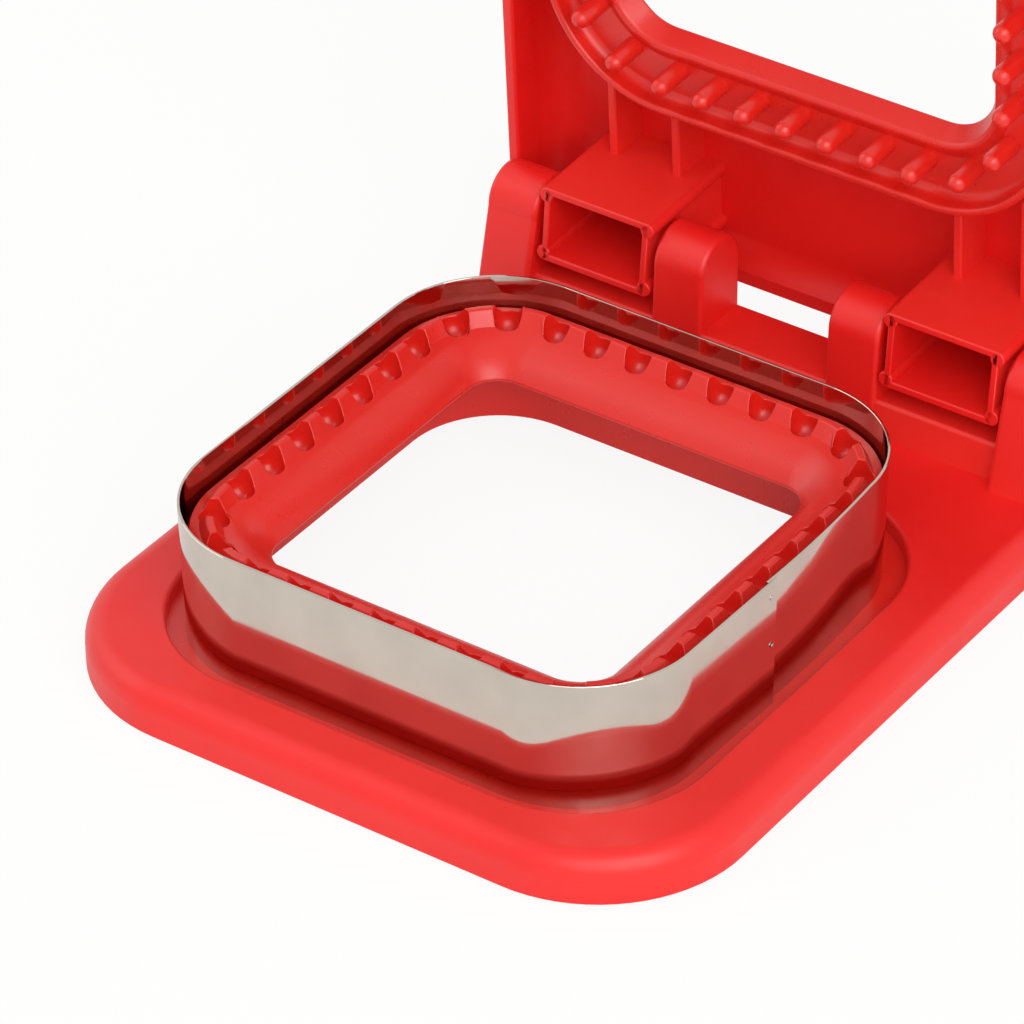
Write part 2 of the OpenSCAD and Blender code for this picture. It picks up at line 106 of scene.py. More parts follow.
def bench_clear() -> None:
    """Leaves edit mode and deselects everything."""
    if bpy.context.object and bpy.context.object.mode != "OBJECT":
        bpy.ops.object.mode_set(mode="OBJECT")
    bpy.ops.object.select_all(action="DESELECT")


def take(piece: Obj) -> None:
    """Makes one piece the only selected and active one.

    Args:
        piece: The mesh object.
    """
    bench_clear()
    piece.select_set(True)
    bpy.context.view_layer.objects.active = piece


def apply_place() -> None:
    """Applies the place of the active piece to its mesh."""
    bpy.ops.object.transform_apply(location=True, rotation=True, scale=True)


def edit(piece: Obj, kind: Pick, test: Callable[..., bool]) -> None:
    """Opens a piece in edit mode with only some of its edges or faces selected.

    Args:
        piece: The mesh object.
        kind: Whether edges or faces are picked.
        test: Says of each edge or face whether it is picked.
    """
    take(piece)
    bpy.ops.object.mode_set(mode="EDIT")
    bpy.ops.mesh.select_mode(type=kind.value)
    bpy.ops.mesh.select_all(action="DESELECT")
    mesh = bmesh.from_edit_mesh(piece.data)
    mesh.normal_update()
    for item in mesh.edges if kind is Pick.EDGE else mesh.faces:
        if test(item):
            item.select_set(True)
    bmesh.update_edit_mesh(piece.data)


def done() -> None:
    """Closes edit mode."""
    bpy.ops.object.mode_set(mode="OBJECT")


def round_edges(piece: Obj, radius: float, steps: int, test: Test) -> None:
    """Rounds the picked edges of a piece.

    Args:
        piece: The mesh object.
        radius: Radius of the round.
        steps: Faces across the round.
        test: Says of each edge whether it is rounded.
    """
    edit(piece, Pick.EDGE, test)
    bpy.ops.mesh.bevel(
        offset_type="OFFSET", offset=radius, segments=steps, profile=0.5, affect="EDGES",
        clamp_overlap=False,
    )
    done()


def shift_edges(piece: Obj, shift: Point, test: Test) -> None:
    """Moves the picked edges of a piece.

    Args:
        piece: The mesh object.
        shift: How far they move.
        test: Says of each edge whether it is moved.
    """
    edit(piece, Pick.EDGE, test)
    bpy.ops.transform.translate(value=shift)
    done()


def scale_edges(piece: Obj, factor: float, middle: Point, test: Test) -> None:
    """Spreads or narrows the picked edges of a piece in plan.

    Args:
        piece: The mesh object.
        factor: How much wider they become.
        middle: The point that stays in place.
        test: Says of each edge whether it is changed.
    """
    edit(piece, Pick.EDGE, test)
    bpy.ops.transform.resize(value=(factor, factor, 1), center_override=middle)
    done()


def extrude(shift: Point) -> None:
    """Extrudes what is selected along a straight run."""
    bpy.ops.mesh.extrude_region_move(TRANSFORM_OT_translate={"value": shift})


def hollow_out(piece: Obj, wall: float, depth: float) -> None:
    """Hollows a piece from below.

    Args:
        piece: The mesh object.
        wall: Thickness of the wall that is left.
        depth: How far up the hollow goes.
    """
    edit(piece, Pick.FACE, lambda f: f.normal.z < DOWNWARD)
    bpy.ops.mesh.inset(thickness=wall, depth=0)
    extrude((0, 0, depth))
    done()


def upright(edge: Edge) -> bool:
    """Says whether an edge stands upright."""
    a, b = (v.co for v in edge.verts)
    return abs(a.x - b.x) < NEAR and abs(a.y - b.y) < NEAR


def along(edge: Edge, axis: int) -> bool:
    """Says whether an edge runs along one axis."""
    a, b = (v.co for v in edge.verts)
    return all(abs(a[i] - b[i]) < NEAR for i in range(3) if i != axis)


def level(edge: Edge, height: float) -> bool:
    """Says whether both ends of an edge lie at one height."""
    return all(abs(v.co.z - height) < NEAR for v in edge.verts)


def crease(edge: Edge, degrees: float) -> bool:
    """Says whether the faces beside an edge turn by more than an angle."""
    return len(edge.link_faces) == 2 and edge.calc_face_angle(0.0) > math.radians(degrees)


def block(low: Point, high: Point) -> Obj:
    """Adds a block between two corners.

    Args:
        low: Lowest corner.
        high: Highest corner.

    Returns:
        The new mesh object.
    """
    bench_clear()
    middle = [(a + b) / 2 for a, b in zip(low, high)]
    bpy.ops.mesh.primitive_cube_add(size=1, location=middle)
    piece = bpy.context.object
    piece.scale = [b - a for a, b in zip(low, high)]
    apply_place()
    return piece


def bar(radius: float, start: Point, end: Point, sides: int) -> Obj:
    """Adds a round bar between two points.

    Args:
        radius: Radius of the bar.
        start: Middle of its first end.
        end: Middle of its other end.
        sides: Faces round the bar.

    Returns:
        The new mesh object.
    """
    bench_clear()
    a, b = Vector(start), Vector(end)
    turn = (b - a).to_track_quat("Z", "Y").to_euler()
    bpy.ops.mesh.primitive_cylinder_add(
        vertices=sides, radius=radius, depth=(b - a).length, location=(a + b) / 2, rotation=turn
    )
    piece = bpy.context.object
    apply_place()
    return piece


def post(radius: float, heights: Place, sides: int) -> Obj:
    """Adds an upright round bar over the origin, between two heights in any order."""
    return bar(radius, (0, 0, min(heights)), (0, 0, max(heights)), sides)


def plan_block(half: float, reach: Place, turns: Place, heights: Place) -> Obj:
    """Adds an upright block with round corners in plan.

    Args:
        half: Half of its width.
        reach: Reach to the front and to the rear.
        turns: Corner radius at the front and at the rear.
        heights: Lowest and highest level.

    Returns:
        The new mesh object.
    """
    front, rear = reach
    piece = block((-half, -front, heights[0]), (half, rear, heights[1]))
    round_edges(
        piece, turns[0], TURN_STEPS, lambda e: upright(e) and e.verts[0].co.y < NEAR - front
    )
    round_edges(
        piece, turns[1], TURN_STEPS, lambda e: upright(e) and e.verts[0].co.y > rear - NEAR
    )
    return piece


def cut(target: Obj, tool: Obj) -> None:
    """Cuts a solid out of a piece, and removes the solid.

    Args:
        target: The piece that is changed.
        tool: The solid that is cut out of it.
    """
    take(target)
    step = target.modifiers.new("cut", "BOOLEAN")
    step.solver = "EXACT"
    step.operation = "DIFFERENCE"
    step.object = tool
    bpy.ops.object.modifier_apply(modifier=step.name)
    bpy.data.objects.remove(tool)


def cut_opening(piece: Obj, half: float, straight: float, heights: Place) -> None:
    """Cuts a square opening with round corners and rounds its upper rim.

    Args:
        piece: The mesh object.
        half: Half of the opening's width.
        straight: Half of the straight run along each side.
        heights: Where the cut starts, and the level of the upper rim.
    """
    low, top = heights
    turn = half - straight
    tool = plan_block(half, (half, half), (turn, turn), (low, top + PAST))
    cut(piece, tool)
    limit = half + NEAR
    round_edges(
        piece, RIM_ROUND, steps=4,
        test=lambda e: level(e, top) and crease(e, SHARP)
        and all(abs(v.co.x) < limit and abs(v.co.y) < limit for v in e.verts),
    )


def join(target: Obj, others: Sequence[Obj]) -> None:
    """Makes several meshes one piece.

    Args:
        target: The piece that the others become part of.
        others: The meshes that are joined to it.
    """
    take(target)
    for other in others:
        other.select_set(True)
    bpy.ops.object.join()


def twin_of(piece: Obj, shift: Point, scale: Point = (1, 1, 1)) -> Obj:
    """Copies a piece with a mesh of its own.

    Args:
        piece: The mesh object.
        shift: Where the copy goes, from the piece.
        scale: How much larger the copy is along each axis.

    Returns:
        The copy.
    """
    take(piece)
    bpy.ops.object.duplicate(linked=False)
    twin = bpy.context.object
    twin.location, twin.scale = shift, scale
    apply_place()
    return twin


def repeat(piece: Obj, places: Sequence[Place]) -> list[Obj]:
    """Copies a piece to several places in plan, and removes the first one.

    Args:
        piece: The mesh object, over the origin.
        places: The X and Y of each copy.

    Returns:
        The copies, in the order of their places.
    """
    copies = [twin_of(piece, (x, y, 0)) for x, y in places]
    bpy.data.objects.remove(piece)
    return copies


def mirrored(piece: Obj) -> Obj:
    """Copies a piece to the other side, with its faces turned outwards.

    Args:
        piece: The mesh object.

    Returns:
        The mirrored copy.
    """
    twin = twin_of(piece, (0, 0, 0), (-1, 1, 1))
    outwards(twin)
    return twin


def outwards(piece: Obj) -> None:
    """Merges doubled points and turns the faces of a piece outwards.

    Args:
        piece: The mesh object.
    """
    take(piece)
    bpy.ops.object.mode_set(mode="EDIT")
    bpy.ops.mesh.select_all(action="SELECT")
    bpy.ops.mesh.remove_doubles(threshold=DOUBLED)
    bpy.ops.mesh.normals_make_consistent(inside=False)
    done()


def strip_start(section: Section, x: float, y: float) -> Obj:
    """Adds the outline of a section as a closed loop, upright across the X axis.

    Args:
        section: Outward distance and height of each corner.
        x: Where the outward distance is zero.
        y: Where the loop stands.

    Returns:
        The loop, open in edit mode and selected all over.
    """
    bench_clear()
    bpy.ops.mesh.primitive_circle_add(vertices=len(section), radius=1, fill_type="NOTHING")
    piece = bpy.context.object
    for vertex, (outward, height) in zip(piece.data.vertices, section):
        vertex.co = (x + outward, y, height)
    bpy.ops.object.mode_set(mode="EDIT")
    bpy.ops.mesh.select_mode(type="EDGE")
    bpy.ops.mesh.select_all(action="SELECT")
    return piece


def strip_turn(x: float, y: float) -> None:
    """Spins the selected loop round a corner, a quarter turn to the left."""
    bpy.ops.mesh.spin(steps=TURN_STEPS, angle=-math.pi / 2, center=(x, y, 0), axis=(0, 0, 1))


def swept_ring(section: Section, half: float, straight: float, stops: Sequence[float] = ()) -> Obj:
    """Carries a section round a square with round corners.

    Args:
        section: Outward distance and height of each corner of the section.
        half: Half of the square's width, where the outward distance is zero.
        straight: Half of the straight run along each side.
        stops: Places along each side, from its middle, where the run is divided.

    Returns:
        The closed ring.
    """
    piece = strip_start(section, half, -straight)
    runs = ((0, 1), (-1, 0), (0, -1), (1, 0))
    corners = ((1, 1), (-1, 1), (-1, -1), (1, -1))
    marks = [-straight, *stops, straight]
    lengths = [b - a for a, b in zip(marks, marks[1:])]
    for (dx, dy), (cx, cy) in zip(runs, corners):
        for length in lengths:
            extrude((length * dx, length * dy, 0))
        strip_turn(cx * straight, cy * straight)
    done()
    outwards(piece)
    return piece


def arc(x: float, z: float, radius: float, start: float, end: float, steps: int) -> Section:
    """Points along an arc of a section about X and Z, both ends included, in degrees."""
    angles = [math.radians(start + (end - start) * i / steps) for i in range(steps + 1)]
    return [(x + radius * math.cos(a), z + radius * math.sin(a)) for a in angles]


def rounded(corners: Sequence[tuple[float, float, float]], steps: int) -> Section:
    """Outline of a section with some of its corners rounded.

    Args:
        corners: Outward distance, height and radius of each corner, in order.
        steps: Pieces across each round.

    Returns:
        The points of the outline.
    """
    points: Section = []
    for i, (x, z, radius) in enumerate(corners):
        if radius == 0:
            points.append((x, z))
            continue
        here = Vector((x, z))
        back = (Vector(corners[i - 1][:2]) - here).normalized()
        onward = (Vector(corners[(i + 1) % len(corners)][:2]) - here).normalized()
        half = back.angle(onward) / 2
        middle = here + (back + onward).normalized() * radius / math.sin(half)
        first, last = (here + way * radius / math.tan(half) - middle for way in (back, onward))
        for step in range(steps + 1):
            spot = middle + first.lerp(last, step / steps).normalized() * radius
            points.append((spot.x, spot.y))
    return points


def touch_angle(x: float, z: float, radius: float, point: Place, side: int) -> float:
    """Angle on a circle where a line from a point touches it.

    Args:
        x: Outward place of the circle's middle.
        z: Height of the circle's middle.
        radius: Radius of the circle.
        point: Where the line starts.
        side: 1 if the touching point is left of the line to the middle, -1 if right.

    Returns:
        The angle in degrees, seen from the circle's middle.
    """
    dx, dz = point[0] - x, point[1] - z
    swing = math.degrees(math.acos(radius / math.hypot(dx, dz)))
    return math.degrees(math.atan2(dz, dx)) + side * swing


def smooth(piece: Obj) -> None:
    """Shades a piece smooth across its rounds and flat across its faces.

    Args:
        piece: The mesh object.
    """
    take(piece)
    bpy.ops.object.shade_smooth_by_angle(angle=math.radians(SMOOTH_ANGLE))
    step = piece.modifiers.new("flat_faces", "WEIGHTED_NORMAL")
    step.keep_sharp = True
    step.weight = FLAT_WEIGHT
    bpy.ops.object.modifier_apply(modifier=step.name)


# Finishes


def linear(colour: str) -> tuple[float, float, float, float]:
    """Turns an sRGB hex colour into linear light.

    Args:
        colour: Six hex digits after a hash sign.

    Returns:
        Red, green, blue and full opacity.
    """
    parts = [int(colour[i : i + 2], 16) / 255 for i in (1, 3, 5)]
    light = [c / 12.92 if c <= 0.04045 else ((c + 0.055) / 1.055) ** 2.4 for c in parts]
    return (light[0], light[1], light[2], 1.0)


def node(tree: Tree, kind: str, settings: dict | None = None, **sockets: object) -> bpy.types.Node:
    """Adds a node with its settings and links.

    Args:
        tree: The material's or world's node tree.
        kind: The node's type name.
        settings: Values of the node's own properties.
        sockets: A value or another node's output for each input, by its name or by in0, in1
            and so on.

    Returns:
        The new node.
    """
    made = tree.nodes.new(kind)
    for key, value in (settings or {}).items():
        setattr(made, key, value)
    for key, value in sockets.items():
        place = int(key[2:]) if key[:2] == "in" and key[2:].isdigit() else key.replace("_", " ")
        if isinstance(value, Socket):
            tree.links.new(value, made.inputs[place])
        else:
            made.inputs[place].default_value = value
    return made


def per_metre(size_mm: float) -> float:
    """Texture scale at which one feature has a size in millimetres."""
    return 1.0 / (size_mm * METRES)


def noise(tree: Tree, where: Socket, size_mm: float, **more: float) -> Socket:
    """Adds a noise with features of a size in millimetres."""
    scale = per_metre(size_mm)
    return node(tree, "ShaderNodeTexNoise", Vector=where, Scale=scale, **more).outputs["Fac"]


def ranged(tree: Tree, value: Socket, span: Place, result: Place) -> Socket:
    """Carries a value from one range to another."""
    ends = {"in1": span[0], "in2": span[1], "in3": result[0], "in4": result[1]}
    return node(tree, "ShaderNodeMapRange", in0=value, **ends).outputs["Result"]


def mixed(tree: Tree, share: Socket, first: object, last: object) -> Socket:
    """Mixes two colours."""
    kind = {"data_type": "RGBA"}
    return node(tree, "ShaderNodeMix", kind, in0=share, in6=first, in7=last).outputs[2]


def maths(tree: Tree, operation: str, *values: object) -> Socket:
    """Reckons with two or three values."""
    inputs = {f"in{i}": value for i, value in enumerate(values)}
    return node(tree, "ShaderNodeMath", {"operation": operation}, **inputs).outputs["Value"]


def relief(tree: Tree, height: Socket, strength: float, depth_mm: float) -> Socket:
    """Turns a height into a fine relief."""
    inputs = {"Height": height, "Strength": strength, "Distance": depth_mm * METRES}
    return node(tree, "ShaderNodeBump", **inputs).outputs["Normal"]


def new_material(name: str) -> tuple[bpy.types.Material, Tree]:
    """Starts an empty node material.

    Args:
        name: The material's name.

    Returns:
        The material and its node tree.
    """
    made = bpy.data.materials.new(name)
    made.use_nodes = True
    made.node_tree.nodes.clear()
    return made, made.node_tree


@dataclass(frozen=True)
class Finish:
    """A procedural material: a colour, a second tint that clouds it, and a sheen."""

    name: str
    colour: str
    tint: str
    roughness: float

    def surface(self, tree: Tree, where: Socket) -> dict[str, object]:
        """Lays out the inputs of the surface's shader; each finish has its own."""
        raise NotImplementedError

    def sheen(self, tree: Tree, value: Socket, span: Place, spread: Place) -> Socket:
        """Lets a value vary the roughness below and above its middle."""
        result = (self.roughness - spread[0], self.roughness + spread[1])
        return ranged(tree, value, span, result)

    def make(self) -> bpy.types.Material:
        """Builds the material.

        Returns:
            The material.
        """
        made, tree = new_material(self.name)
        where = node(tree, "ShaderNodeTexCoord").outputs["Object"]
        shader = node(tree, "ShaderNodeBsdfPrincipled", **self.surface(tree, where))
        node(tree, "ShaderNodeOutputMaterial", Surface=shader.outputs["BSDF"])
        return made


@dataclass(frozen=True)
class MouldedPlastic(Finish):
    """Injection-moulded ABS: an even body colour under a fine spark-eroded grain.

    The grain breaks highlights into a satin sheen, flow marks cloud the colour a little, handling
    leaves duller patches, and proud edges are painted paler, partly as rubbed wear and partly as a
    painted highlight along the rounded edges.
    """

    # Paler colour of proud edges: partly rubbed wear, partly a painted highlight along rounded
    # edges
    edge_wear_and_highlight: str
    grain_mm: float
    grain_height_mm: float
    grain_strength: float = 0.35
    flow_mm: float = 22
    marks_mm: float = 6
    marks_spread: Place = (0.05, 0.06)
    proud_span: Place = (0.53, 0.62)
    edge_wear_and_highlight_share: float = 0.25
    ior: float = 1.53

    def surface(self, tree: Tree, where: Socket) -> dict[str, object]:
        """Lays out the plastic's colour, sheen and grain.

        Args:
            tree: The material's node tree.
            where: The place on the piece.

        Returns:
            The inputs of the surface's shader.
        """
        # Mould grain of about half a millimetre, a little coarser than real so that it shows
        grain = noise(tree, where, self.grain_mm, Detail=2.0, Roughness=0.55)
        # Broad clouds where the plastic flowed, and small marks of handling
        flow = noise(tree, where, self.flow_mm, Detail=3.0, Distortion=0.6)
        marks = noise(tree, where, self.marks_mm, Detail=4.0, Roughness=0.6)
        cloud = ranged(tree, flow, NOISE_SPAN, (0.0, 1.0))
        body = mixed(tree, cloud, linear(self.tint), linear(self.colour))
        # Proud edges painted paler, partly as rubbed wear and partly as a painted highlight where
        # rounded edges catch the light
        proud = node(tree, "ShaderNodeNewGeometry").outputs["Pointiness"]
        edge_wear_and_highlight_mask = ranged(tree, proud, self.proud_span, (0.0, self.edge_wear_and_highlight_share))
        return {
            "Base_Color": mixed(tree, edge_wear_and_highlight_mask, body, linear(self.edge_wear_and_highlight)),
            "Roughness": self.sheen(tree, marks, NOISE_SPAN, self.marks_spread),
            "IOR": self.ior,
            "Normal": relief(tree, grain, self.grain_strength, self.grain_height_mm),
        }


@dataclass(frozen=True)
class RolledSteel(Finish):
    """Cold-rolled stainless strip: bright metal that mirrors what is beside it.

    Faint rolling lines run along the strip, so they are drawn level and soften a reflection up and
    down, and thumb smears dull the mirror in patches.
    """

    line_mm: float
    line_stretch: Point = (0.02, 0.02, 1.0)
    line_spread: Place = (0.015, 0.015)
    line_strength: float = 0.03
    line_depth_mm: float = 0.01
    smear_mm: float = 9
    smear_span: Place = (0.4, 0.75)
    smear_dulling: float = 0.03

    def surface(self, tree: Tree, where: Socket) -> dict[str, object]:
        """Lays out the steel's colour, sheen and rolling lines.

        Args:
            tree: The material's node tree.
            where: The place on the piece.

        Returns:
            The inputs of the surface's shader.
        """
        mapping = node(tree, "ShaderNodeMapping", Vector=where, Scale=self.line_stretch)
        # Rolling lines about a third of a millimetre apart, coarser than real so that they show
        lines = noise(tree, mapping.outputs["Vector"], self.line_mm, Detail=3.0)
        smears = noise(tree, where, self.smear_mm, Detail=3.0, Roughness=0.5)
        hazy = ranged(tree, smears, self.smear_span, (0.0, 1.0))
        rough = self.sheen(tree, lines, NOISE_SPAN, self.line_spread)
        return {
            "Base_Color": mixed(tree, hazy, linear(self.colour), linear(self.tint)),
            "Metallic": 1.0,
            "Roughness": maths(tree, "MULTIPLY_ADD", hazy, self.smear_dulling, rough),
            "Normal": relief(tree, lines, self.line_strength, self.line_depth_mm),
        }


@dataclass(frozen=True)
class PlatedSteel(Finish):
    """Zinc-plated screw steel: a soft grey metal with a faint crystal mottle."""

    crystal_mm: float = 0.8
    crystal_spread: Place = (0.06, 0.08)

    def surface(self, tree: Tree, where: Socket) -> dict[str, object]:
        """Lays out the plating's mottle.

        Args:
            tree: The material's node tree.
            where: The place on the piece.

        Returns:
            The inputs of the surface's shader.
        """
        scale = per_metre(self.crystal_mm)
        mottle = node(tree, "ShaderNodeTexVoronoi", Vector=where, Scale=scale).outputs["Color"]
        grey = node(tree, "ShaderNodeRGBToBW", Color=mottle).outputs["Val"]
        return {
            "Base_Color": mixed(tree, grey, linear(self.colour), linear(self.tint)),
            "Metallic": 1.0,
            "Roughness": self.sheen(tree, grey, (0.0, 1.0), self.crystal_spread),
        }


# Common plan of the part


@dataclass(frozen=True)
class Plan:
    """Sizes that more than one piece shares, in millimetres, as in the CAD source."""

    straight: float = 25.5
    blade_half: float = 45.35
    hinge_y: float = 70.8
    hinge_z: float = 24.8
    open_angle: float = 87.0
    pocket_path: float = 40.3
    pocket_turn: float = 14.8
    pockets_per_side: int = 7
    corner_spread: float = 17.5
    ear_outside: float = 54.5
    outer_ear_side: float = 44.8
    inner_ear_side: float = 21.6
    ear_gap_half: float = 12.0

    def pitch(self) -> float:
        """Distance from one pocket to the next along a side."""
        return 2 * self.straight / (self.pockets_per_side - 0.5)

    def pocket_sites(self, inset: float = 0.0) -> list[Place]:
        """Places of the pockets and studs in plan.

        Args:
            inset: How far inside their path they are.

        Returns:
            The X and Y of each one.
        """
        pitch, middle = self.pitch(), (self.pockets_per_side - 1) / 2
        path, turn = self.pocket_path - inset, self.pocket_turn - inset
        one_side = [((i - middle) * pitch, -path) for i in range(self.pockets_per_side)]
        for angle in (-45 - self.corner_spread, -45 + self.corner_spread):
            a = math.radians(angle)
            x, y = self.straight + turn * math.cos(a), -self.straight + turn * math.sin(a)
            one_side.append((x, y))
        return turned(one_side)


def turned(places: Sequence[Place]) -> list[Place]:
    """Repeats places of one side on all four sides.

    Args:
        places: The X and Y of each place on the front side.

    Returns:
        The places on the four sides.
    """
    result = []
    for x, y in places:
        result += [(x, y), (-y, x), (-x, -y), (y, -x)]
    return result


@dataclass
class Piece:
    """One finished piece that stands for a CAD node."""

    plan: Plan
    shift_y: float
    node_name: str
    body: Body
    slot: str

    def model(self) -> Obj:
        """Models the piece in millimetres; each class has its own."""
        raise NotImplementedError

    def build(self, finish: bpy.types.Material) -> None:
        """Models, shades and settles the piece.

        Args:
            finish: The material it takes.
        """
        piece = self.model()
        smooth(piece)
        self.settle(piece, finish)

    def settle(self, piece: Obj, finish: bpy.types.Material) -> None:
        """Puts a modelled piece into the part's frame, dresses it and hangs it on its body.

        Args:
            piece: The mesh object, in millimetres.
            finish: The material it takes.
        """
        place = Matrix.Translation((0, -self.shift_y, 0))
        if self.body is Body.LID:
            hinge = Vector((0, self.plan.hinge_y, self.plan.hinge_z))
            swing = Matrix.Rotation(-math.radians(self.plan.open_angle), 4, "X")
            place = place @ Matrix.Translation(hinge) @ swing @ Matrix.Translation(-hinge)
        take(piece)
        piece.matrix_world = Matrix.Scale(METRES, 4) @ place
        apply_place()
        piece.data.materials.clear()
        piece.data.materials.append(finish)
        piece.name = f"{self.node_name}_dressed"
        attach(piece, self.body.value)
        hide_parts(self.node_name)
        LOG.info("%s: %d faces", piece.name, len(piece.data.polygons))


# Sub-assemblies


@dataclass
class BaseTray(Piece):
    """Moulded base: deck with a square well, a ridge across the rear and four hinge ears."""

    half: float = 58.5
    front: float = 57.3
    rear: float = 76.3
    height: float = 8.2
    under: float = 5.7
    wall: float = 2.4
    front_turn: float = 26.0
    rear_turn: float = 10.0
    edge: float = 4.0
    foot_round: float = 0.5
    well_half: float = 47.9
    ear_front: float = 64.2
    ear_rear: float = 75.8
    ear_mid: float = 24.3
    ear_flat: float = 0.01
    ear_foot: float = 4.4
    inner_ear_foot: float = 0.8
    ear_soft: float = 0.9
    ridge_top: float = 14.4
    ridge_foot: float = 1.4
    ridge_soft: float = 0.7
    ridge_inset: float = 0.5
    ridge_back: float = 0.2

    def deck(self) -> Obj:
        """Models the deck with its outer wall, its hollow underside and the well.

        Returns:
            The mesh object.
        """
        reach, turns = (self.front, self.rear), (self.front_turn, self.rear_turn)
        deck = plan_block(self.half, reach, turns, (0, self.height))
        round_edges(deck, self.edge, steps=10, test=lambda e: level(e, self.height))
        hollow_out(deck, self.wall, self.under)
        round_edges(deck, self.foot_round, steps=3, test=lambda e: level(e, 0) and crease(e, SHARP))
        cut_opening(deck, self.well_half, self.plan.straight, (-PAST, self.height))
        return deck

    def at_front_foot(self, edge: Edge) -> bool:
        """Says whether an edge runs along the front of an ear's or the ridge's foot."""
        front = edge.verts[0].co.y < self.ear_front + NEAR
        return front and along(edge, 0) and level(edge, self.under)

    def ear(self, inside: float, outside: float, foot: float) -> Obj:
        """Models an ear with a round top and softened edges.

        Args:
            inside: Where it starts in X.
            outside: Where it ends in X.
            foot: How far its front spreads at the deck.

        Returns:
            The mesh object.
        """
        radius = (self.ear_rear - self.ear_front) / 2
        top = self.ear_mid + radius
        ear = block((inside, self.ear_front, self.under), (outside, self.ear_rear, top))
        round_edges(
            ear, radius - self.ear_flat, steps=16, test=lambda e: along(e, 0) and level(e, top)
        )
        shift_edges(ear, (0, -foot, 0), self.at_front_foot)
        round_edges(
            ear, self.ear_soft, steps=4,
            test=lambda e: crease(e, SQUARE) and not level(e, self.under) and not along(e, 0),
        )
        return ear

    def hollow(self, reach: float, top: float) -> Obj:
        """Models the space under the ridge, up to a height, inside half of a width."""
        x, front, rear = reach - self.wall, self.ear_front + self.wall, self.ear_rear - self.wall
        return block((-x, front, 0), (x, rear, top))

    def ridge(self) -> Obj:
        """Models the hollow ridge between the ears.

        Returns:
            The mesh object.
        """
        reach = self.plan.ear_outside - self.ridge_inset
        # Its rear is set in a little, so that it shares no face with the ears
        rear = self.ear_rear - self.ridge_back
        low, high = (-reach, self.ear_front, self.under), (reach, rear, self.ridge_top)
        ridge = block(low, high)
        shift_edges(ridge, (0, -self.ridge_foot, 0), self.at_front_foot)
        round_edges(
            ridge, self.ridge_soft, steps=4,
            test=lambda e: along(e, 0) and level(e, self.ridge_top),
        )
        cut(ridge, self.hollow(reach, self.ridge_top - self.wall))
        return ridge

    def model(self) -> Obj:
        """Models the base.

        Returns:
            The mesh object.
        """
        tray = self.deck()
        cut(tray, self.hollow(self.plan.ear_outside, self.height + 1))
        pieces = [self.ridge()]
        for inside, outside, foot in (
            (self.plan.outer_ear_side, self.plan.ear_outside, self.ear_foot),
            (self.plan.ear_gap_half, self.plan.inner_ear_side, self.inner_ear_foot),
        ):
            ear = self.ear(inside, outside, foot)
            pieces += [ear, mirrored(ear)]
        join(tray, pieces)
        return tray


